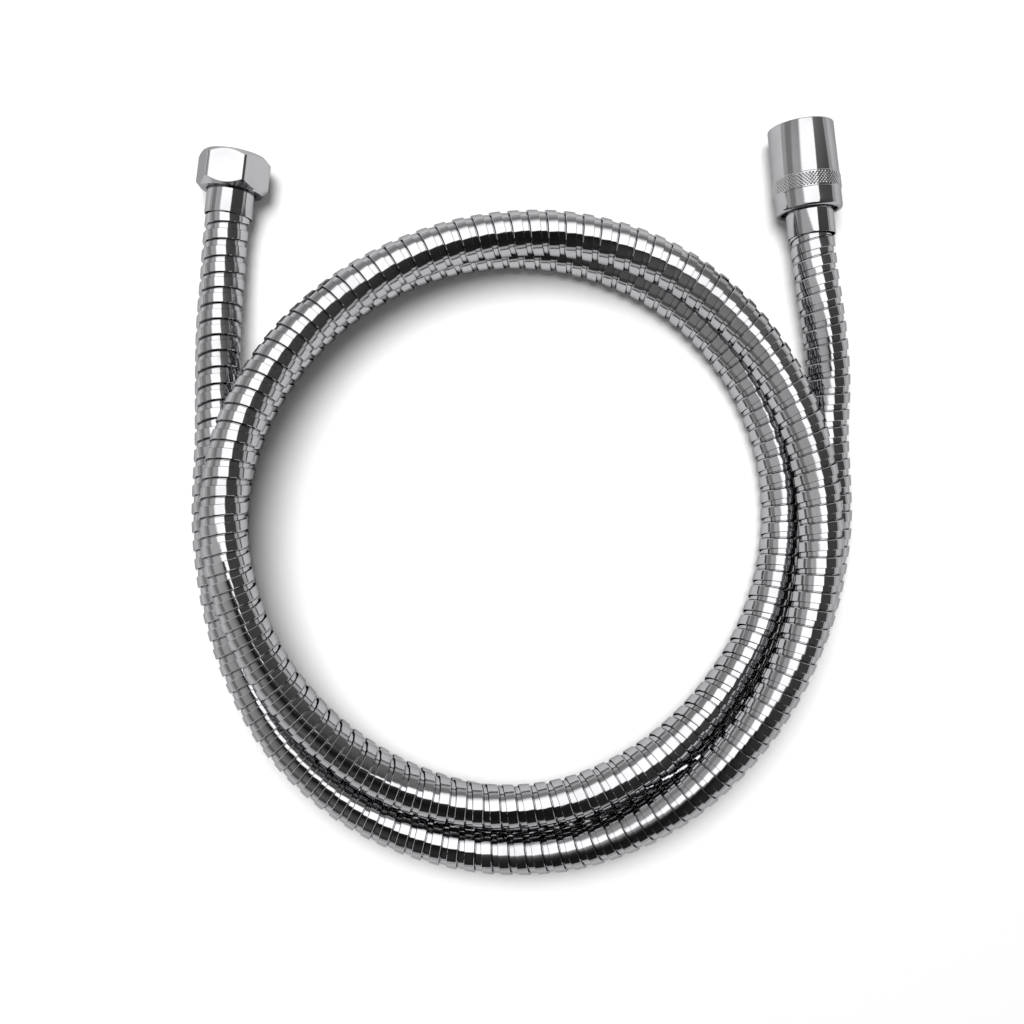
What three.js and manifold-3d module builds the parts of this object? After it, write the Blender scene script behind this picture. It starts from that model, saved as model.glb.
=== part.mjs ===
// Shower hose lying in a loose coil on z = 0, in millimetres with +Z up.
// A strip-wound metal casing runs round a rubber tube. A crimped ferrule and a barbed nipple close each end.
// A hexagonal union nut turns on one end and a long knurled union nut on the other.

import * as THREE from 'three';
import { mergeVertices } from 'three/addons/utils/BufferGeometryUtils.js';
import Module from 'manifold-3d';

// Gap left between pieces that touch
const gap = 0.3;

// Casing and the tube inside it
const casingRadius = 7.4;
const casingWall = 1.2;
const casingSides = 12;
const tubeWall = 1.2;
const tubeSides = 8;
const hoseSteps = 80;

// Crimped ferrules
const ferruleWall = 0.35;
const hexSleeveShown = 8.5;
const coneSleeveShown = 8.3;
const coneGrip = 11.2;

// Barbed nipples
const barbCount = 3;
const barbPitch = 3;
const barbDepth = 0.4;
const nippleWall = 0.9;
const flangeThickness = 1.8;
const coneHeadLength = 8.1;

// Sealing washers
const washerThickness = 2;
const washerHole = 5.2;

// Union nuts, both with a half-inch pipe thread cut from the bore outwards
const threadBore = 9.32;
const leadIn = 0.5;
const hexAcrossFlats = 22;
const hexNutLength = 12.4;
const hexChamfer = 0.6;
const hexRearWall = 2;
const coneNutLength = 29.3;
const coneMouthRadius = 11.1;
const coneMouthEdge = 0.5;
const coneWaistRadius = 11.25;
const bandRadius = 11.6;
const bandWidth = 5;
const bandEdge = 0.35;
const bandFromRear = 6.4;
const coneRearRadius = 11.35;
const rimDepth = 1.8;
const rimTurn = 0.9;
const bushWall = 0.55;
const bushInset = 1;
const counterboreDepth = 8;
const shoulderWall = 2;

// Round sections
const turnedSegments = 40;

// The coil's middle, seen from above
const coilMiddle = [-1.41, -15.1];

// Start of the hose at the hexagonal nut: x and y from the coil's middle, and height
const hexTail = [
  [-98.5, 120.9, hexAcrossFlats / 2],
  [-100.9, 101.0, hexAcrossFlats / 2],
  [-101.6, 90.0, 11.3],
  [-102.2, 73.0, 14.0],
  [-101.4, 54.0, 18.4],
];

// The coil: distance from its middle and height at every coilStep degrees, anticlockwise from coilStart
const coilStart = 160;
const coilStep = 20;
const coilTurns = [
  [106.9, 22.0], [100.7, 23.6], [100.4, 22.9], [102.8, 21.2], [104.6, 18.2], [105.0, 16.6],
  [104.0, 18.6], [101.2, 22.2], [99.0, 23.4], [98.8, 23.2], [99.5, 22.9], [100.8, 22.8],
  [102.5, 22.9], [103.6, 23.0], [102.8, 23.1], [101.2, 23.4], [99.8, 25.4], [98.6, 30.8],
  [97.0, 36.6], [94.2, 38.3], [91.6, 35.5], [90.2, 31.0], [89.8, 26.0], [89.0, 22.8],
  [87.4, 22.2], [85.4, 20.2], [85.4, 14.8], [87.4, 9.8], [90.2, 7.8], [93.6, 7.5],
  [96.8, 7.5], [99.2, 7.5], [100.6, 7.5], [101.2, 7.5], [101.6, 7.5], [101.8, 7.5],
  [102.0, 7.5], [101.0, 7.5], [98.2, 7.5], [95.2, 7.5], [93.2, 7.5], [92.6, 7.5],
  [93.2, 7.5], [95.8, 7.5], [99.6, 7.5], [103.4, 7.5], [106.2, 7.5], [112.4, 7.7],
];

// End of the hose at the long nut: x and y from the coil's middle, and height
const coneTail = [
  [105.9, 53.7, 8.6],
  [104.4, 70.0, 10.2],
  [102.3, 83.0, 11.2],
  [100.7, 93.1, bandRadius],
  [98.4, 114.65, bandRadius],
];

const chrome = { color: 0xc4c4ca, roughness: 0.12, metalness: 1 };
const brass = { color: 0xc9a862, roughness: 0.35, metalness: 1 };
const darkRubber = { color: 0x2a2a2c, roughness: 0.8, metalness: 0 };

const wasm = await Module();
wasm.setup();

function piece(name, geometry, finish) {
  const mesh = new THREE.Mesh(geometry, new THREE.MeshStandardMaterial(finish));
  mesh.name = name;
  return mesh;
}

// Turns a geometry's faces outwards where it was built inside out
function facingOut(geometry) {
  const solid = geometry.index ? geometry.toNonIndexed() : geometry;
  const place = solid.attributes.position;
  const corner = [new THREE.Vector3(), new THREE.Vector3(), new THREE.Vector3()];
  let volume = 0;
  for (let first = 0; first < place.count; first += 3) {
    corner.forEach((point, k) => point.fromBufferAttribute(place, first + k));
    volume += corner[0].dot(corner[1].cross(corner[2]));
  }
  const turned = volume < 0;
  const bare = new THREE.BufferGeometry();
  const values = [];
  for (let first = 0; first < place.count; first += 3) {
    for (const k of turned ? [0, 2, 1] : [0, 1, 2]) {
      values.push(place.getX(first + k), place.getY(first + k), place.getZ(first + k));
    }
  }
  bare.setAttribute('position', new THREE.Float32BufferAttribute(values, 3));
  const closed = mergeVertices(bare, 1e-4);
  closed.computeVertexNormals();
  return closed;
}

function asManifold(geometry) {
  const merged = facingOut(geometry);
  return new wasm.Manifold(new wasm.Mesh({
    numProp: 3,
    vertProperties: new Float32Array(merged.attributes.position.array),
    triVerts: new Uint32Array(merged.index.array),
  }));
}

function asGeometry(solid) {
  const mesh = solid.getMesh();
  const geometry = new THREE.BufferGeometry();
  geometry.setAttribute('position', new THREE.Float32BufferAttribute(mesh.vertProperties, 3));
  geometry.setIndex(new THREE.Uint32BufferAttribute(mesh.triVerts, 1));
  geometry.computeVertexNormals();
  return geometry;
}

// A ring-shaped solid turned about Y, from a closed outline of [radius, height] points
function turned(outline) {
  const points = [...outline, outline[0]].map(([radius, height]) => new THREE.Vector2(radius, height));
  return facingOut(new THREE.LatheGeometry(points, turnedSegments));
}

// Centreline of the hose from the hexagonal nut's end to the long nut's end
function hoseRoute() {
  const fromMiddle = ([x, y, z]) => new THREE.Vector3(coilMiddle[0] + x, coilMiddle[1] + y, z);
  const onCoil = ([radius, height], index) => {
    const angle = THREE.MathUtils.degToRad(coilStart + coilStep * index);
    return fromMiddle([radius * Math.cos(angle), radius * Math.sin(angle), height]);
  };
  const points = [...hexTail.map(fromMiddle), ...coilTurns.map(onCoil), ...coneTail.map(fromMiddle)];
  const route = new THREE.CatmullRomCurve3(points, false, 'centripetal');
  route.arcLengthDivisions = 1200;
  return route;
}

function polygon(radius, sides, into) {
  for (let side = 0; side <= sides; side += 1) {
    const angle = (side % sides) * 2 * Math.PI / sides;
    const place = [radius * Math.cos(angle), radius * Math.sin(angle)];
    if (side === 0) into.moveTo(...place);
    else into.lineTo(...place);
  }
  return into;
}

// A hollow tube along the route
function hollowTube(route, outerRadius, innerRadius, sides) {
  const section = polygon(outerRadius, sides, new THREE.Shape());
  section.holes.push(polygon(innerRadius, sides, new THREE.Path()));
  const tube = new THREE.ExtrudeGeometry(section, { steps: hoseSteps, extrudePath: route, bevelEnabled: false });
  return facingOut(tube);
}

// Sizes that follow from the driving ones
const casingBore = casingRadius - casingWall;
const tubeRadius = casingBore * Math.cos(Math.PI / casingSides) - gap;
const tubeBore = tubeRadius - tubeWall;
const barbRadius = tubeBore * Math.cos(Math.PI / tubeSides) - gap;
const barbRoot = barbRadius - barbDepth;
const nippleBore = barbRoot - nippleWall;
const ferruleBore = casingRadius + gap;
const ferruleRadius = ferruleBore + ferruleWall;
const slideRadius = ferruleRadius + gap;
const flangeRadius = threadBore - gap;

// A crimped sleeve from its open end on the hose to its front end, measured from the hose's end
function ferrule(rear, front) {
  return turned([
    [ferruleBore, rear],
    [ferruleRadius, rear],
    [ferruleRadius, front],
    [ferruleBore, front],
  ]);
}

// A nipple with barbs inside the tube, a neck inside the ferrule and a head that the nut catches
function nipple(headRear, headFront) {
  const outline = [];
  for (let barb = 0; barb < barbCount; barb += 1) {
    const tip = (barb - barbCount) * barbPitch;
    outline.push([barbRoot, tip], [barbRadius, tip + barbPitch * 0.8]);
  }
  outline.push([barbRoot, gap]);
  if (headRear > gap) {
    outline.push([ferruleBore - gap, gap], [ferruleBore - gap, headRear]);
  }
  outline.push([flangeRadius, headRear], [flangeRadius, headFront]);
  outline.push([nippleBore, headFront], [nippleBore, -barbCount * barbPitch]);
  return turned(outline);
}

function washer(rear) {
  return turned([
    [washerHole, rear],
    [flangeRadius, rear],
    [flangeRadius, rear + washerThickness],
    [washerHole, rear + washerThickness],
  ]);
}

// The hexagonal nut: a turned blank with chamfered ends, cut to six flats
function hexNut(shoulder) {
  const rear = shoulder - hexRearWall;
  const mouth = rear + hexNutLength;
  const cornerRadius = hexAcrossFlats / Math.sqrt(3) / Math.cos(Math.PI / turnedSegments);
  const faceRadius = hexAcrossFlats / 2 - hexChamfer;
  const cornerDepth = cornerRadius - faceRadius;
  const blank = turned([
    [slideRadius, rear],
    [faceRadius, rear],
    [cornerRadius, rear + cornerDepth],
    [cornerRadius, mouth - cornerDepth],
    [faceRadius, mouth],
    [threadBore + leadIn, mouth],
    [threadBore, mouth - leadIn],
    [threadBore, shoulder],
    [slideRadius, shoulder],
  ]);
  const hexagon = new THREE.Shape();
  for (let corner = 0; corner < 6; corner += 1) {
    const angle = corner * Math.PI / 3;
    const place = [Math.cos(angle), Math.sin(angle)].map((share) => share * hexAcrossFlats / Math.sqrt(3));
    if (corner === 0) hexagon.moveTo(...place);
    else hexagon.lineTo(...place);
  }
  hexagon.closePath();
  const bar = new THREE.ExtrudeGeometry(hexagon, { depth: 3 * hexNutLength, bevelEnabled: false });
  bar.rotateX(-Math.PI / 2);
  bar.translate(0, rear - hexNutLength, 0);
  return asGeometry(asManifold(blank).intersect(asManifold(bar)));
}

// The long nut: a slightly conical body, a raised band for the grip and a rim turned in at the rear
function coneNut(shoulder) {
  const rear = shoulder - shoulderWall - counterboreDepth;
  const mouth = rear + coneNutLength;
  const bandRear = rear + bandFromRear;
  const bandFront = bandRear + bandWidth;
  const counterbore = slideRadius + bushWall + gap;
  const rim = [0, 30, 60, 90].map((degrees) => {
    const angle = THREE.MathUtils.degToRad(degrees);
    return [coneRearRadius - rimTurn * (1 - Math.sin(angle)), rear + rimDepth * (1 - Math.cos(angle))];
  });
  return turned([
    [counterbore, rear],
    ...rim,
    [coneRearRadius, bandRear],
    [bandRadius, bandRear + bandEdge],
    [bandRadius, bandFront - bandEdge],
    [coneWaistRadius, bandFront],
    [coneMouthRadius, mouth - coneMouthEdge],
    [coneMouthRadius - coneMouthEdge, mouth],
    [threadBore + leadIn, mouth],
    [threadBore, mouth - leadIn],
    [threadBore, shoulder],
    [slideRadius, shoulder],
    [slideRadius, shoulder - shoulderWall],
    [counterbore, shoulder - shoulderWall],
  ]);
}

// The thin guide ring in the rear of the long nut
function bush(shoulder) {
  const rear = shoulder - shoulderWall - counterboreDepth + bushInset;
  const front = shoulder - shoulderWall - gap;
  return turned([
    [slideRadius, rear],
    [slideRadius + bushWall, rear],
    [slideRadius + bushWall, front],
    [slideRadius, front],
  ]);
}

// A fitting's frame: its origin is the hose's end and its Y axis points out of the nut's mouth
function fitting(hoseEnd, outward) {
  const frame = new THREE.Group();
  frame.position.copy(hoseEnd);
  frame.quaternion.setFromUnitVectors(new THREE.Vector3(0, 1, 0), outward);
  return frame;
}

function hexEnd(route) {
  const frame = fitting(route.getPoint(0), route.getTangent(0).negate());
  const grip = hexSleeveShown + hexRearWall;
  const head = gap + flangeThickness;
  frame.add(piece('hex_ferrule', ferrule(-grip, 0), chrome));
  frame.add(piece('hex_nipple', nipple(gap, head), brass));
  frame.add(piece('hex_washer', washer(head + gap), darkRubber));
  frame.add(piece('hex_nut', hexNut(0), chrome));
  return frame;
}

function coneEnd(route) {
  const frame = fitting(route.getPoint(1), route.getTangent(1));
  const shoulder = coneSleeveShown + counterboreDepth + shoulderWall - coneGrip;
  const headRear = shoulder + gap;
  const headFront = headRear + coneHeadLength;
  frame.add(piece('cone_ferrule', ferrule(-coneGrip, shoulder), chrome));
  frame.add(piece('cone_nipple', nipple(headRear, headFront), brass));
  frame.add(piece('cone_washer', washer(headFront + gap), darkRubber));
  frame.add(piece('cone_bush', bush(shoulder), chrome));
  frame.add(piece('cone_nut', coneNut(shoulder), chrome));
  return frame;
}

const route = hoseRoute();
const hose = new THREE.Group();
hose.add(piece('hose_casing', hollowTube(route, casingRadius, casingBore, casingSides), chrome));
hose.add(piece('inner_tube', hollowTube(route, tubeRadius, tubeBore, tubeSides), darkRubber));
hose.add(hexEnd(route));
hose.add(coneEnd(route));

export default hose;
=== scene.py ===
"""A chrome shower hose in a loose coil, with a hexagonal union nut and a long knurled union nut."""

import math

import bmesh
import bpy
from mathutils import Matrix, Vector


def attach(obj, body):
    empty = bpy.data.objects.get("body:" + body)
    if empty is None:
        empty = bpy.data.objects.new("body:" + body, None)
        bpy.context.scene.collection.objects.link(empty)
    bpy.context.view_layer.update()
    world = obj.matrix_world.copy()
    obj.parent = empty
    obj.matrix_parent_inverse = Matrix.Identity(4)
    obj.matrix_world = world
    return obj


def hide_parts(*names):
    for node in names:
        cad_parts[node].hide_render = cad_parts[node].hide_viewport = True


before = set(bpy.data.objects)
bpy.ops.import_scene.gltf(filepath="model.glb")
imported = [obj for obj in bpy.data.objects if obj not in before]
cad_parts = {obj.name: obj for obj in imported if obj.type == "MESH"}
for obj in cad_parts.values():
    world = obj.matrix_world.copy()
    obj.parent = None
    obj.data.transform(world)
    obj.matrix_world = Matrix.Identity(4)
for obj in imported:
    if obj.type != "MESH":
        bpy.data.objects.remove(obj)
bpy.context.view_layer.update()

# route of the hose, in metres: two tails as points from the coil's middle, and the coil's turns as
# (distance from the middle, height) at every 20 degrees
COIL_MIDDLE = Vector((-0.00141, -0.0151, 0.0))
HEX_TAIL = [
    (-0.0985, 0.1209, 0.0110), (-0.1009, 0.1010, 0.0110), (-0.1016, 0.0900, 0.0113),
    (-0.1022, 0.0730, 0.0140), (-0.1014, 0.0540, 0.0184),
]
COIL_START, COIL_STEP = 160, 20
COIL_TURNS = [
    (0.1069, 0.0220), (0.1007, 0.0236), (0.1004, 0.0229), (0.1028, 0.0212), (0.1046, 0.0182),
    (0.1050, 0.0166), (0.1040, 0.0186), (0.1012, 0.0222), (0.0990, 0.0234), (0.0988, 0.0232),
    (0.0995, 0.0229), (0.1008, 0.0228), (0.1025, 0.0229), (0.1036, 0.0230), (0.1028, 0.0231),
    (0.1012, 0.0234), (0.0998, 0.0254), (0.0986, 0.0308), (0.0970, 0.0366), (0.0942, 0.0383),
    (0.0916, 0.0355), (0.0902, 0.0310), (0.0898, 0.0260), (0.0890, 0.0228), (0.0874, 0.0222),
    (0.0854, 0.0202), (0.0854, 0.0148), (0.0874, 0.0098), (0.0902, 0.0078), (0.0936, 0.0075),
    (0.0968, 0.0075), (0.0992, 0.0075), (0.1006, 0.0075), (0.1012, 0.0075), (0.1016, 0.0075),
    (0.1018, 0.0075), (0.1020, 0.0075), (0.1010, 0.0075), (0.0982, 0.0075), (0.0952, 0.0075),
    (0.0932, 0.0075), (0.0926, 0.0075), (0.0932, 0.0075), (0.0958, 0.0075), (0.0996, 0.0075),
    (0.1034, 0.0075), (0.1062, 0.0075), (0.1124, 0.0077),
]
CONE_TAIL = [
    (0.1059, 0.0537, 0.0086), (0.1044, 0.0700, 0.0102), (0.1023, 0.0830, 0.0112),
    (0.1007, 0.0931, 0.0116), (0.0984, 0.11465, 0.0116),
]
ROUTE_STEPS = 16  # points along each span of the route
END_STEPS = 400  # the same where only the direction of the hose's ends is needed

# sizes, in millimetres; radii are from the middle of the hose or of its fittings
MM = 0.001
STRIP_PITCH = 5.78
STRIP_WINDING_RADIUS = 6.8
STRIP_STEPS = 20
STRIP_TURNS_LEFT_OFF = 1.3  # turns fewer than the pitch alone gives, over the whole hose
# Strip section: distance along the hose from the crest's free lip, and distance from the hose's middle
STRIP_SECTION = [
    (0.00, 7.14), (0.02, 7.36), (0.16, 7.50), (3.24, 7.50), (3.42, 7.36), (3.50, 7.00), (3.66, 6.44),
    (3.80, 6.44), (4.00, 6.80), (6.80, 6.80), (6.80, 6.62), (4.10, 6.62), (3.96, 6.30), (3.32, 6.30),
    (3.28, 7.14),
]
THREAD_PITCH = 1.814
THREAD_ROOT = 9.95
THREAD_CREST = 9.35
THREAD_STEPS = 48
THREAD_LINE_STEPS = 20
FERRULE_BORE, FERRULE_RADIUS, FERRULE_LIP_RADIUS = 7.7, 8.05, 7.95
FERRULE_LIP_LENGTH = 0.4
SLIDE_RADIUS = 8.35
FLANGE_RADIUS = 9.0
WASHER_BORE = 5.2
BUSH_RADIUS = 8.9
TURNED_STEPS = 128
SHARP_EDGE = 28.0  # degrees; edges under it are shaded soft, edges over it may be eased
WOUND_SHARP_EDGE, KNURL_SHARP_EDGE = 26.0, 20.0

# Hexagonal nut and its fittings, distances along it from the hose's end
HEX_ACROSS_FLATS = 22.0
HEX_FACE_RADIUS = 10.4
HEX_CORNER_ROUNDING = 1.8
HEX_STEPS = 24  # points along each side
HEX_NUT_REAR, HEX_NUT_MOUTH, HEX_NUT_SHOULDER = -2.0, 10.4, 0.0
HEX_THREAD = (5.5, 9.6)
HEX_WASHER = (2.4, 4.4)
HEX_FERRULE = (-10.5, 0)

# Long nut and its fittings, distances along it from the hose's end
CONE_NUT_REAR, CONE_NUT_MOUTH, CONE_NUT_SHOULDER = -2.9, 26.4, 7.1
CONE_RIM_BORE = 9.2
CONE_BAND_RADIUS, CONE_REAR_RADIUS, CONE_MOUTH_RADIUS = 11.4, 11.25, 11.0
BAND_FROM_REAR, BAND_WIDTH = 6.4, 5.0
CONE_THREAD = (19.1, 25.3)
CONE_WASHER = (15.8, 17.8)
CONE_BUSH = (-1.9, 4.8)
CONE_FERRULE = (-11.2, 7.1)
KNURL_COLUMNS, KNURL_ROWS = 66, 7
KNURL_START, KNURL_WIDTH, KNURL_RADIUS, KNURL_RELIEF = 3.55, 4.9, 11.37, 0.15

# light, in metres, watts and degrees
LAMP_PLACE = (-0.14, 0.52, 1.8)
LAMP_SIZE, LAMP_ENERGY = 1.0, 37.5
CAMERA_PLACE = (-0.00417, -0.00544, 0.400)
SOFTBOX_TURN = -12.0
SOFTBOX_STRENGTH = 2.4
# Brightness mirrored low down and high up, towards the back, left, right and front
WALLS = (0.42, 0.40, 0.10, 0.02)
CEILING = (0.45, 0.80, 0.10, 0.015)
HORIZON = 0.7
MATT_LIGHT = 0.12
FLOOR_REACH = 6.0
GLOW_FROM, GLOW_TO = 0.24, 0.95


# nodes
class Wire:
    """One socket of a node tree, which sums and products turn into Math nodes."""

    def __init__(self, bench, socket):
        self.bench = bench
        self.socket = socket

    def apply(self, operation, *others):
        return self.bench.maths(operation, self, *others)

    def __add__(self, other):
        return self.apply("ADD", other)

    def __sub__(self, other):
        return self.apply("SUBTRACT", other)

    def __rsub__(self, other):
        return self.bench.maths("SUBTRACT", other, self)

    def __mul__(self, other):
        return self.apply("MULTIPLY", other)

    def __truediv__(self, other):
        return self.apply("DIVIDE", other)

    def __pow__(self, other):
        return self.apply("POWER", other)

    __radd__ = __add__
    __rmul__ = __mul__


class Bench:
    """Adds nodes to one tree, settings first and then the values or wires of the sockets."""

    def __init__(self, tree):
        self.tree = tree
        tree.nodes.clear()

    def node(self, kind, settings=None, inputs=None, output=0):
        made = self.tree.nodes.new(kind)
        for name, value in (settings or {}).items():
            setattr(made, name, value)
        for name, value in (inputs or {}).items():
            socket = made.inputs[name]
            if isinstance(value, Wire):
                self.tree.links.new(value.socket, socket)
            else:
                socket.default_value = value
        return Wire(self, made.outputs[output]) if len(made.outputs) else made

    def maths(self, operation, *values):
        return self.node("ShaderNodeMath", {"operation": operation}, dict(enumerate(values)))

    def vector(self, operation, *values):
        return self.node("ShaderNodeVectorMath", {"operation": operation}, dict(enumerate(values)))

    def scaled(self, vector, scale):
        return self.node("ShaderNodeVectorMath", {"operation": "SCALE"}, {0: vector, "Scale": scale})

    def also(self, wire, output):
        """Another output of the node that a wire comes from."""
        return Wire(self, wire.socket.node.outputs[output])


# finishes
def new_finish(name):
    material = bpy.data.materials.new(name)
    material.use_nodes = True
    bench = Bench(material.node_tree)
    place = bench.node("ShaderNodeTexCoord", output="Object")
    return material, bench, place


def grain(bench, place, scale, detail=3.0):
    return bench.node("ShaderNodeTexNoise", {}, {
        "Vector": place, "Scale": scale, "Detail": detail, "Roughness": 0.5})


def spread(bench, value, low, high):
    """Softly from 0 at the low value to 1 at the high one."""
    return bench.node("ShaderNodeMapRange", {"interpolation_type": "SMOOTHSTEP"}, {
        "Value": value, "From Min": low, "From Max": high, "To Min": 0.0, "To Max": 1.0})


def tinted(bench, share, first, second):
    return bench.node("ShaderNodeMix", {"data_type": "RGBA"}, {"Factor": share, "A": first, "B": second}, output=2)


def bumped(bench, height, strength):
    return bench.node("ShaderNodeBump", {}, {"Height": height, "Strength": strength, "Distance": 0.0002})


def shaded(bench, colour, roughness, metallic=0.0, normal=None, **others):
    sockets = {"Base Color": colour, "Roughness": roughness, "Metallic": metallic, **others}
    if normal:
        sockets["Normal"] = normal
    surface = bench.node("ShaderNodeBsdfPrincipled", {}, sockets)
    bench.node("ShaderNodeOutputMaterial", {}, {"Surface": surface})


# Plated metal that darkens towards its outline instead of whitening
DEEP_EDGES = {"Specular Tint": (0.48, 0.48, 0.49, 1)}


def strip_chrome():
    """Plated strip: bright, with faint rolling haze and a little dullness in the smudges."""
    material, bench, place = new_finish("strip_chrome")
    smudge = spread(bench, grain(bench, place, 55.0, 4.0), 0.45, 0.75)
    haze = grain(bench, place, 900.0, 2.0)
    tone = tinted(bench, smudge, (0.43, 0.43, 0.44, 1), (0.38, 0.38, 0.387, 1))
    roughness = 0.045 + smudge * 0.05 + haze * 0.03
    shaded(bench, tone, roughness, 1.0, bumped(bench, haze, 0.03), **DEEP_EDGES)
    return material


def turned_chrome():
    """Plated brass fittings: polished, with faint clouds of wiping marks."""
    material, bench, place = new_finish("turned_chrome")
    cloud = spread(bench, grain(bench, place, 90.0, 5.0), 0.4, 0.8)
    fine = grain(bench, place, 1400.0, 2.0)
    tone = tinted(bench, cloud, (0.42, 0.42, 0.43, 1), (0.37, 0.37, 0.377, 1))
    roughness = 0.05 + cloud * 0.05 + fine * 0.02
    shaded(bench, tone, roughness, 1.0, bumped(bench, fine, 0.02), **DEEP_EDGES)
    return material


def bare_brass():
    """Machined brass inside the fittings, with spots of water stain."""
    material, bench, place = new_finish("bare_brass")
    stain = spread(bench, grain(bench, place, 260.0, 4.0), 0.5, 0.7)
    cut = grain(bench, place, 2200.0, 1.0)
    tone = tinted(bench, stain, (0.79, 0.62, 0.33, 1), (0.52, 0.38, 0.19, 1))
    shaded(bench, tone, 0.24 + stain * 0.2 + cut * 0.08, 1.0, bumped(bench, cut, 0.08))
    return material


def moulded_rubber(name, dark, light, roughness):
    """Matt rubber, cloudy between its two tones, with fine pores."""
    material, bench, place = new_finish(name)
    cloud = grain(bench, place, 180.0, 4.0)
    pores = grain(bench, place, 2600.0, 2.0)
    tone = tinted(bench, cloud, dark, light)
    shaded(bench, tone, roughness + pores * 0.12, normal=bumped(bench, pores, 0.25))
    return material


# meshes
def new_piece(name, mesh, material):
    piece = bpy.data.objects.new(name, mesh)
    bpy.context.scene.collection.objects.link(piece)
    mesh.materials.clear()
    mesh.materials.append(material)
    return piece


def tidy_mesh(mesh, sharp):
    """Joins doubled points, turns the faces outwards and shades them soft up to the sharp edges."""
    work = bmesh.new()
    work.from_mesh(mesh)
    bmesh.ops.remove_doubles(work, verts=work.verts, dist=1e-7)
    bmesh.ops.recalc_face_normals(work, faces=work.faces)
    work.to_mesh(mesh)
    work.free()
    mesh.shade_smooth()
    mesh.set_sharp_from_angle(angle=math.radians(sharp))


def ring_mesh(name, rows, seat):
    """A ring-shaped body from rows of points in the seat's own frame, the last row joined to the first."""
    around = len(rows[0])
    corners = [seat @ Vector(point) for row in rows for point in row]
    faces = []
    for row in range(len(rows)):
        this, after = row * around, (row + 1) % len(rows) * around
        for step in range(around):
            beside = (step + 1) % around
            faces.append((this + step, this + beside, after + beside, after + step))
    mesh = bpy.data.meshes.new(name)
    mesh.from_pydata(corners, [], faces)
    tidy_mesh(mesh, SHARP_EDGE)
    return mesh


def ring_point(angle, radius, along):
    """A point round the Y axis, in metres, from sizes in millimetres."""
    radius, along = radius * MM, along * MM
    return radius * math.cos(angle), along, radius * math.sin(angle)


def turned(name, outline, seat, material, edge):
    """A turned body from a closed outline of (radius, along) in millimetres, its corners eased by edge."""
    angles = [2 * math.pi * step / TURNED_STEPS for step in range(TURNED_STEPS)]
    rows = [[ring_point(angle, radius, along) for angle in angles] for radius, along in outline]
    return ease(new_piece(name, ring_mesh(name, rows, seat), material), edge)


def turned_washer(name, span, seat, material):
    near, far = span
    outline = [(WASHER_BORE, near), (FLANGE_RADIUS, near), (FLANGE_RADIUS, far), (WASHER_BORE, far)]
    return turned(name, outline, seat, material, 0.25)


def crimped_sleeve(name, span, seat, material):
    """The ferrule, its rear lip drawn in a little."""
    rear, front = span
    outline = [
        (FERRULE_BORE, rear), (FERRULE_LIP_RADIUS, rear), (FERRULE_RADIUS, rear + FERRULE_LIP_LENGTH),
        (FERRULE_RADIUS, front), (FERRULE_BORE, front)]
    return turned(name, outline, seat, material, 0.08)


def ease(piece, width):
    """Rounds a piece's sharp edges, by a width in millimetres."""
    bevel = piece.modifiers.new("eased_edges", "BEVEL")
    bevel.width = width * MM
    bevel.segments = 2
    bevel.limit_method = "ANGLE"
    bevel.angle_limit = math.radians(SHARP_EDGE)
    bevel.harden_normals = True
    return settle(piece)


def settle(piece):
    """Turns a piece's modifiers into plain mesh."""
    ready = bpy.context.evaluated_depsgraph_get()
    mesh = bpy.data.meshes.new_from_object(piece.evaluated_get(ready))
    old = piece.data
    piece.modifiers.clear()
    piece.data = mesh
    mesh.name = piece.name
    bpy.data.meshes.remove(old)
    return piece


def wire_line(name, points, closed=False):
    """A bare line of edges that a node tree follows."""
    count = len(points)
    edges = [(step, (step + 1) % count) for step in range(count if closed else count - 1)]
    mesh = bpy.data.meshes.new(name)
    mesh.from_pydata(points, edges, [])
    line = bpy.data.objects.new(name, mesh)
    bpy.context.scene.collection.objects.link(line)
    return line


# the hose's route
def route_points():
    from_middle = [COIL_MIDDLE + Vector(point) for point in HEX_TAIL]
    for index, (radius, height) in enumerate(COIL_TURNS):
        angle = math.radians(COIL_START + COIL_STEP * index)
        from_middle.append(COIL_MIDDLE + Vector((radius * math.cos(angle), radius * math.sin(angle), height)))
    return from_middle + [COIL_MIDDLE + Vector(point) for point in CONE_TAIL]


def span_point(before, start, end, after, share):
    """A point of the curve between start and end, with the speed set by the distances' square roots."""
    first, middle, last = ((b - a).length ** 0.5 for a, b in ((before, start), (start, end), (end, after)))
    leave = ((start - before) / first - (end - before) / (first + middle) + (end - start) / middle) * middle
    arrive = ((end - start) / middle - (after - start) / (middle + last) + (after - end) / last) * middle
    cubic = start * 2 - end * 2 + leave + arrive
    square = end * 3 - start * 3 - leave * 2 - arrive
    return start + leave * share + square * share ** 2 + cubic * share ** 3


def smooth_route(per_span):
    """The whole route as a line of close points, straight on beyond its two ends."""
    points = route_points()
    points = [points[0] * 2 - points[1], *points, points[-1] * 2 - points[-2]]
    line = []
    for index in range(1, len(points) - 2):
        line += [span_point(*points[index - 1:index + 3], step / per_span) for step in range(per_span)]
    return line + [points[-2]]


def seat_at(end, inner):
    """The frame of a fitting: its origin at the hose's end, Y out of the nut's mouth, Z kept upright."""
    turn = Vector((0, 1, 0)).rotation_difference((end - inner).normalized())
    return Matrix.Translation(end) @ turn.to_matrix().to_4x4()


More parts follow.
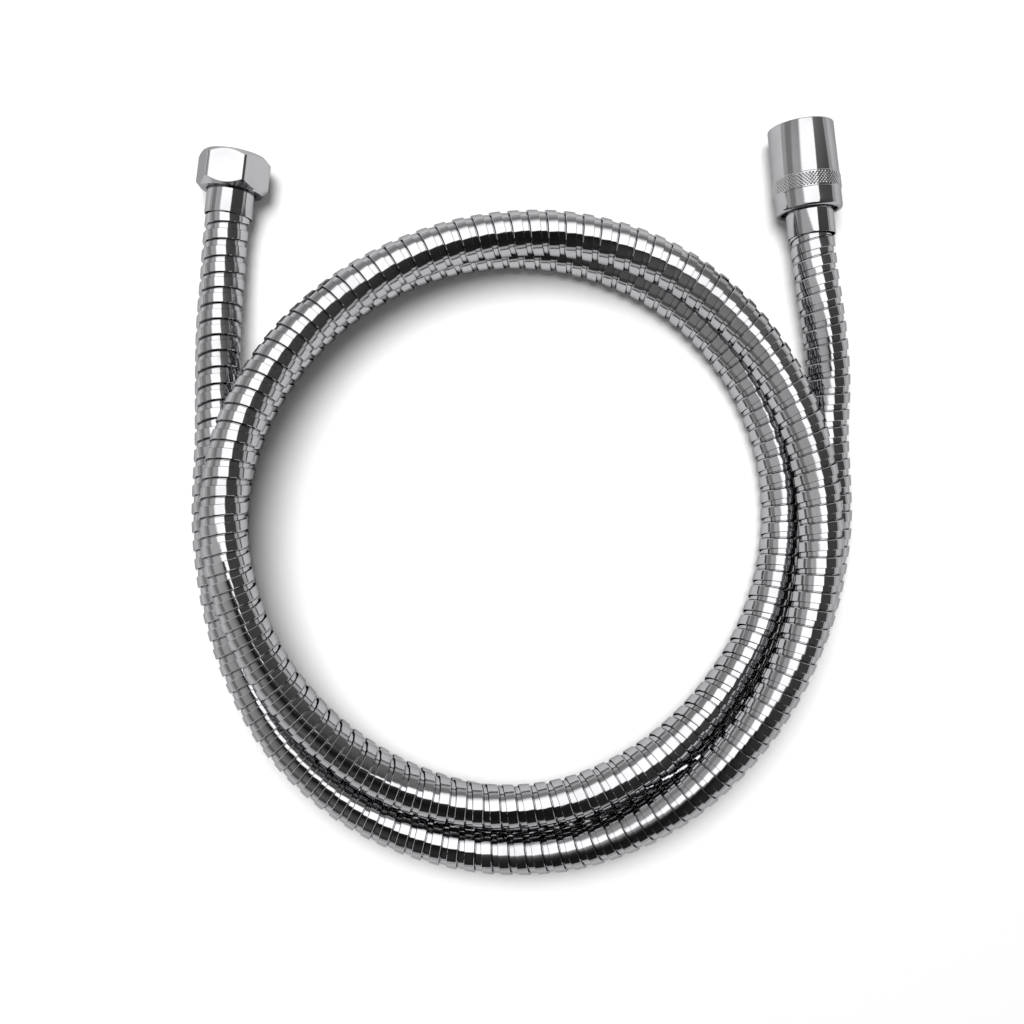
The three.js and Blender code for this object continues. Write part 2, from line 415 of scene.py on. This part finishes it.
# node trees that wind and repeat
def new_tree(name, given, made):
    """A tree of geometry nodes with its named inputs, one output, and a wire for each input."""
    tree = bpy.data.node_groups.new(name, "GeometryNodeTree")
    bench = Bench(tree)
    for label, kind in given.items():
        tree.interface.new_socket(label, in_out="INPUT", socket_type="NodeSocket" + kind)
    tree.interface.new_socket(made, in_out="OUTPUT", socket_type="NodeSocketGeometry")
    first = bench.node("NodeGroupInput")
    return tree, bench, {label: bench.also(first, label) for label in given}


def finish_tree(bench, shape, finish, made):
    shape = bench.node("GeometryNodeRealizeInstances", {}, {"Geometry": shape})
    shape = bench.node("GeometryNodeSetMaterial", {}, {"Geometry": shape, "Material": finish})
    bench.node("NodeGroupOutput", {}, {made: shape})


def wound_strip_tree():
    """Winds a closed section in a right-handed helix round a line."""
    tree, bench, given = new_tree("wound_strip", {
        "Line": "Geometry", "Section": "Object", "Steps": "Int", "Steps per Turn": "Int",
        "Winding Radius": "Float", "Finish": "Material"}, "Strip")

    line = bench.node("GeometryNodeMeshToCurve", {}, {"Mesh": given["Line"]})
    line = bench.node("GeometryNodeResampleCurve", {}, {"Curve": line, "Count": given["Steps"] + 1})
    angle = bench.node("GeometryNodeInputIndex") * (2 * math.pi) / given["Steps per Turn"]
    forward = bench.node("GeometryNodeInputTangent")
    upward = bench.node("GeometryNodeInputNormal")
    sideways = bench.vector("CROSS_PRODUCT", forward, upward)
    up_part = bench.scaled(upward, angle.apply("COSINE"))
    side_part = bench.scaled(sideways, angle.apply("SINE"))
    outward = bench.vector("ADD", up_part, side_part)
    line = bench.node("GeometryNodeStoreNamedAttribute", {"data_type": "FLOAT_VECTOR", "domain": "POINT"},
                      {"Geometry": line, "Name": "outward", "Value": outward})
    kept = bench.node("GeometryNodeInputNamedAttribute", {"data_type": "FLOAT_VECTOR"}, {"Name": "outward"})
    offset = bench.scaled(kept, given["Winding Radius"])
    line = bench.node("GeometryNodeSetPosition", {}, {"Geometry": line, "Offset": offset})
    line = bench.node("GeometryNodeSetCurveNormal", {"mode": "FREE"}, {"Curve": line, "Normal": kept})
    section = bench.node("GeometryNodeObjectInfo", {}, {"Object": given["Section"]}, output="Geometry")
    section = bench.node("GeometryNodeMeshToCurve", {}, {"Mesh": section})
    strip = bench.node("GeometryNodeCurveToMesh", {}, {
        "Curve": line, "Profile Curve": section, "Fill Caps": True})
    strip = bench.node("GeometryNodeRemoveAttribute", {}, {"Geometry": strip, "Name": "outward"})
    finish_tree(bench, strip, given["Finish"], "Strip")
    return tree


def knurl_tree():
    """Rows of small diamond pyramids round the Y axis, every other row half a diamond on."""
    tree, bench, given = new_tree("knurl", {
        "Base": "Geometry", "Columns": "Int", "Rows": "Int", "Band Radius": "Float",
        "Band Width": "Float", "Relief": "Float", "Finish": "Material"}, "Knurl")
    columns, rows, radius = given["Columns"], given["Rows"], given["Band Radius"]

    points = bench.node("GeometryNodePoints", {}, {"Count": columns * rows})
    index = bench.node("GeometryNodeInputIndex")
    row = (index / columns).apply("FLOOR")
    column = index.apply("MODULO", columns)
    angle = (column + row.apply("MODULO", 2.0) * 0.5) * (2 * math.pi) / columns
    half_height = given["Band Width"] / (rows + 1)
    half_width = radius * math.pi / columns
    place = bench.node("ShaderNodeCombineXYZ", {}, {
        0: angle.apply("COSINE") * radius, 1: (row + 1) * half_height, 2: angle.apply("SINE") * radius})
    points = bench.node("GeometryNodeSetPosition", {}, {"Geometry": points, "Position": place})
    diamond = bench.node("GeometryNodeMeshCone", {}, {
        "Vertices": 4, "Radius Top": 0.0, "Radius Bottom": 1.0, "Depth": 1.0})
    outward = bench.node("ShaderNodeCombineXYZ", {}, {0: angle.apply("COSINE"), 1: 0.0, 2: angle.apply("SINE")})
    facing = bench.node("FunctionNodeAxesToRotation", {"primary_axis": "Z", "secondary_axis": "Y"},
                        {"Primary Axis": outward, "Secondary Axis": (0, 1, 0)})
    diamond_size = bench.node("ShaderNodeCombineXYZ", {}, {0: half_width, 1: half_height, 2: given["Relief"]})
    knurl = bench.node("GeometryNodeInstanceOnPoints", {}, {
        "Points": points, "Instance": diamond, "Rotation": facing, "Scale": diamond_size})
    finish_tree(bench, knurl, given["Finish"], "Knurl")
    return tree


def grown(name, base, tree, values, sharp):
    """Runs a node tree on a base object and keeps the result as a plain mesh."""
    growth = base.modifiers.new(tree.name, "NODES")
    growth.node_group = tree
    sockets = {item.name: item.identifier for item in tree.interface.items_tree if item.item_type == "SOCKET"}
    for label, value in values.items():
        growth[sockets[label]] = value
    ready = bpy.context.evaluated_depsgraph_get()
    mesh = bpy.data.meshes.new_from_object(base.evaluated_get(ready))
    mesh.name = name
    base.modifiers.clear()
    tidy_mesh(mesh, sharp)
    return new_piece(name, mesh, values["Finish"])


def wound_strip(name, tree, line_points, section, turns, steps, radius, material):
    """A strip of the given section, in (along, outwards) millimetres, wound round a line of points."""
    line = wire_line("winding_line", line_points)
    profile = wire_line("strip_section", [((out - radius) * MM, -along * MM, 0) for along, out in section], True)
    piece = grown(name, line, tree, {
        "Section": profile, "Steps": round(turns * steps), "Steps per Turn": steps,
        "Winding Radius": radius * MM, "Finish": material}, WOUND_SHARP_EDGE)
    for helper in (line, profile):
        bpy.data.objects.remove(helper)
    return piece


# fittings
def hex_nut(seat, rear, mouth, shoulder, material):
    """Hexagonal union nut: six flats with softly rounded corners, both ends chamfered to a round face."""
    flat = HEX_ACROSS_FLATS / 2
    corner_middle = (flat - HEX_CORNER_ROUNDING) / math.cos(math.pi / 6)
    flat_reach = math.atan(corner_middle / 2 / flat)

    def side(angle):
        from_flat = abs(angle % (math.pi / 3) - math.pi / 6)
        if from_flat < flat_reach:
            return flat / math.cos(from_flat)
        off_corner = math.pi / 6 - from_flat
        reach = math.sqrt(HEX_CORNER_ROUNDING ** 2 - (corner_middle * math.sin(off_corner)) ** 2)
        return corner_middle * math.cos(off_corner) + reach

    # Points round the nut, closer together at its corners
    angles = []
    for step in range(6 * HEX_STEPS):
        share = 2 * (step % HEX_STEPS) / HEX_STEPS - 1
        off = math.copysign(1 - (1 - abs(share)) ** 2, share) * math.pi / 6
        angles.append((step // HEX_STEPS + 0.5) * math.pi / 3 + off)

    def round_row(radius, along):
        return [ring_point(angle, radius, along) for angle in angles]

    rows = [
        round_row(SLIDE_RADIUS, rear),
        round_row(HEX_FACE_RADIUS, rear),
        [ring_point(angle, side(angle), rear + side(angle) - HEX_FACE_RADIUS) for angle in angles],
        [ring_point(angle, side(angle), mouth - side(angle) + HEX_FACE_RADIUS) for angle in angles],
        round_row(HEX_FACE_RADIUS, mouth),
        round_row(THREAD_ROOT + 0.15, mouth),
        round_row(THREAD_ROOT, mouth - 0.3),
        round_row(THREAD_ROOT, shoulder),
        round_row(SLIDE_RADIUS, shoulder),
    ]
    return ease(new_piece("hex_union_nut", ring_mesh("hex_union_nut", rows, seat), material), 0.06)


def arc(middle, radius, start, end, steps):
    """Points of an arc in (radius, along), angles in degrees from the radius direction."""
    angles = [math.radians(start + (end - start) * step / steps) for step in range(steps + 1)]
    return [(middle[0] + radius * math.cos(a), middle[1] + radius * math.sin(a)) for a in angles]


def cone_nut(seat, rear, mouth, shoulder, material):
    """Long union nut: rim rolled in at the rear, plain band, knurled band, slim conical body."""
    band = rear + BAND_FROM_REAR
    band_end = band + BAND_WIDTH
    rim_middle, rim_radius = (CONE_REAR_RADIUS - 1.0, rear + 1.0), 1.0
    outline = [
        (CONE_RIM_BORE, rear + 0.35), (9.5, rear), *arc(rim_middle, rim_radius, -75, -4, 5),
        (CONE_REAR_RADIUS, rear + 2.0), (CONE_REAR_RADIUS, band - 0.5), (11.28, band - 0.1),
        (CONE_BAND_RADIUS, band), (CONE_BAND_RADIUS, band_end),
        (CONE_REAR_RADIUS, band_end + 0.2), (11.1, mouth - 0.5), (CONE_MOUTH_RADIUS, mouth - 0.2),
        (10.75, mouth), (THREAD_ROOT + 0.4, mouth), (THREAD_ROOT, mouth - 0.6),
        (THREAD_ROOT, shoulder), (SLIDE_RADIUS, shoulder), (SLIDE_RADIUS, shoulder - 2),
        (CONE_RIM_BORE, shoulder - 2),
    ]
    return turned("cone_union_nut", outline, seat, material, 0.05)


def knurled_band(seat, tree, material):
    base = wire_line("knurl_base", [(0, 0, 0), (0, 0.001, 0)])
    piece = grown("cone_nut_knurl", base, tree, {
        "Columns": KNURL_COLUMNS, "Rows": KNURL_ROWS, "Band Radius": KNURL_RADIUS * MM,
        "Band Width": KNURL_WIDTH * MM, "Relief": KNURL_RELIEF * MM, "Finish": material}, KNURL_SHARP_EDGE)
    bpy.data.objects.remove(base)
    piece.data.transform(seat @ Matrix.Translation((0, KNURL_START * MM, 0)))
    return piece


def thread(name, tree, seat, span, material):
    """The pipe thread cut in a nut, as a wound ridge."""
    start, end = span
    section = [
        (-0.78, THREAD_ROOT + 0.1), (-0.14, THREAD_CREST), (0.14, THREAD_CREST), (0.78, THREAD_ROOT + 0.1)]
    line = [seat @ Vector((0, (start + (end - start) * step / THREAD_LINE_STEPS) * MM, 0))
            for step in range(THREAD_LINE_STEPS + 1)]
    turns = (end - start) / THREAD_PITCH
    return wound_strip(name, tree, line, section, turns, THREAD_STEPS, THREAD_ROOT, material)


# camera, light and paper
def studio_camera():
    lens = bpy.data.cameras.new("studio_camera")
    lens.sensor_width = 36.0
    lens.lens = 40.0
    lens.clip_start = 0.01
    camera = bpy.data.objects.new("studio_camera", lens)
    camera.location = CAMERA_PLACE
    bpy.context.scene.collection.objects.link(camera)
    bpy.context.scene.camera = camera


def key_lamp():
    """One large soft lamp, back and a little left of overhead, which lights the paper and draws the shadows."""
    lamp = bpy.data.lights.new("key_lamp", "AREA")
    lamp.shape = "DISK"
    lamp.size = LAMP_SIZE
    lamp.energy = LAMP_ENERGY
    key = bpy.data.objects.new("key_lamp", lamp)
    key.location = LAMP_PLACE
    key.rotation_euler = (-Vector(LAMP_PLACE)).to_track_quat("-Z", "Y").to_euler()
    key.visible_camera = False
    key.visible_glossy = False
    bpy.context.scene.collection.objects.link(key)


def studio_world():
    """White to the eye, faint on matt surfaces; polished metal mirrors a softbox and pale, grey and dark walls."""
    world = bpy.data.worlds.new("studio_world")
    world.use_nodes = True
    bpy.context.scene.world = world
    bench = Bench(world.node_tree)
    toward = bench.node("ShaderNodeTexCoord", output="Generated")
    east = bench.node("ShaderNodeSeparateXYZ", {}, {"Vector": toward})
    north, height = bench.also(east, 1), bench.also(east, 2)

    # Softbox, in tangents of the angle from straight up: sharp at the front and right, fading to the back and left
    up = height.apply("MAXIMUM", 0.02)
    turn = math.radians(SOFTBOX_TURN)
    across = (east * math.cos(turn) + north * math.sin(turn)) / up
    along = (north * math.cos(turn) - east * math.sin(turn)) / up
    softbox = spread(bench, across, -0.66, -0.46) * (1 - spread(bench, across, 0.34, 0.39))
    softbox = softbox * spread(bench, along, -0.08, -0.04) * (1 - spread(bench, along, 0.66, 1.70))

    level = (east * east + north * north + 1e-6).apply("SQRT")
    east, north = east / level, north / level
    sides = [side.apply("MAXIMUM", 0.0) ** 2 for side in (north, east * -1, east, north * -1)]

    def around(brightness):
        back, left, right, front = (side * amount for side, amount in zip(sides, brightness))
        return back + left + right + front

    high = spread(bench, height, 0.50, 0.60)
    above = spread(bench, height, 0.20, 0.27)
    seen = around(WALLS) * (1 - high) + around(CEILING) * high
    seen = seen * above + (1 - above) * HORIZON
    seen = seen * (1 - softbox) + softbox * SOFTBOX_STRENGTH
    path = bench.node("ShaderNodeLightPath")
    glossy = bench.also(path, "Is Glossy Ray")
    diffuse = bench.also(path, "Is Diffuse Ray")
    strength = glossy * seen + diffuse * MATT_LIGHT + (1 - glossy) * (1 - diffuse)
    light = bench.node("ShaderNodeBackground", {}, {"Color": (1, 1, 1, 1), "Strength": strength})
    bench.node("ShaderNodeOutputWorld", {}, {"Surface": light})


def studio_floor():
    """White paper, which glows by itself beyond the lamp's reach, so that it stays white as far as the horizon."""
    material, bench, place = new_finish("paper_floor")
    black, white = (0.0, 0.0, 0.0, 1), (1.0, 1.0, 1.0, 1)
    paper = tinted(bench, grain(bench, place, 3.0), (0.97, 0.97, 0.97, 1), (0.98, 0.98, 0.98, 1))
    distance = bench.node("ShaderNodeVectorMath", {"operation": "LENGTH"}, {0: place}, output="Value")
    far = spread(bench, distance, GLOW_FROM, GLOW_TO)
    paper = tinted(bench, far, paper, black)
    glow = tinted(bench, far, black, white)
    shaded(bench, paper, 0.9, **{"Specular IOR Level": 0.0, "Emission Color": glow, "Emission Strength": 1.0})
    mesh = bpy.data.meshes.new("paper_floor")
    corners = [(FLOOR_REACH * x, FLOOR_REACH * y, 0) for x, y in ((-1, -1), (1, -1), (1, 1), (-1, 1))]
    mesh.from_pydata(corners, [], [(0, 1, 2, 3)])
    floor = new_piece("paper_floor", mesh, material)


# making
studio_camera()

chrome = strip_chrome()
plate = turned_chrome()
brass = bare_brass()
tube_rubber = moulded_rubber("tube_rubber", (0.028, 0.028, 0.030, 1), (0.045, 0.045, 0.047, 1), 0.55)
washer_rubber = moulded_rubber("washer_rubber", (0.012, 0.012, 0.013, 1), (0.026, 0.026, 0.027, 1), 0.6)

strip_tree = wound_strip_tree()
route = smooth_route(ROUTE_STEPS)
hose_length = sum((b - a).length for a, b in zip(route, route[1:]))
fine_route = smooth_route(END_STEPS)
hex_seat = seat_at(fine_route[0], fine_route[1])
cone_seat = seat_at(fine_route[-1], fine_route[-2])

hose_turns = hose_length / (STRIP_PITCH * MM) - STRIP_TURNS_LEFT_OFF
hose = wound_strip("hose", strip_tree, route, STRIP_SECTION, hose_turns, STRIP_STEPS, STRIP_WINDING_RADIUS, chrome)
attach(hose, "hose")
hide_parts("hose_casing")

# Hexagonal end
nut = hex_nut(hex_seat, HEX_NUT_REAR, HEX_NUT_MOUTH, HEX_NUT_SHOULDER, plate)
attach(nut, "hex_nut")
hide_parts("hex_nut")
nut_thread = thread("hex_nut_thread", strip_tree, hex_seat, HEX_THREAD, brass)
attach(nut_thread, "hex_nut")
washer = turned_washer("hex_sealing_washer", HEX_WASHER, hex_seat, washer_rubber)
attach(washer, "hex_nut")
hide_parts("hex_washer")
sleeve = crimped_sleeve("hex_crimped_sleeve", HEX_FERRULE, hex_seat, plate)
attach(sleeve, "hose")
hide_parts("hex_ferrule")

# Long end
long_nut = cone_nut(cone_seat, CONE_NUT_REAR, CONE_NUT_MOUTH, CONE_NUT_SHOULDER, plate)
knurl = knurled_band(cone_seat, knurl_tree(), plate)
for piece in (long_nut, knurl):
    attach(piece, "cone_nut")
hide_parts("cone_nut")
long_thread = thread("cone_nut_thread", strip_tree, cone_seat, CONE_THREAD, brass)
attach(long_thread, "cone_nut")
long_washer = turned_washer("cone_sealing_washer", CONE_WASHER, cone_seat, washer_rubber)
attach(long_washer, "cone_nut")
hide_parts("cone_washer")
bush_near, bush_far = CONE_BUSH
bush = turned("cone_guide_ring", [
    (SLIDE_RADIUS, bush_near), (BUSH_RADIUS, bush_near), (BUSH_RADIUS, bush_far), (SLIDE_RADIUS, bush_far)],
    cone_seat, plate, 0.1)
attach(bush, "cone_nut")
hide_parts("cone_bush")
long_sleeve = crimped_sleeve("cone_crimped_sleeve", CONE_FERRULE, cone_seat, plate)
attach(long_sleeve, "hose")
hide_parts("cone_ferrule")

for node, material in (("inner_tube", tube_rubber), ("hex_nipple", brass), ("cone_nipple", brass)):
    for slot in bpy.data.objects[node].material_slots:
        slot.material = material

key_lamp()
studio_world()
studio_floor()
bpy.context.scene.view_settings.view_transform = "Standard"
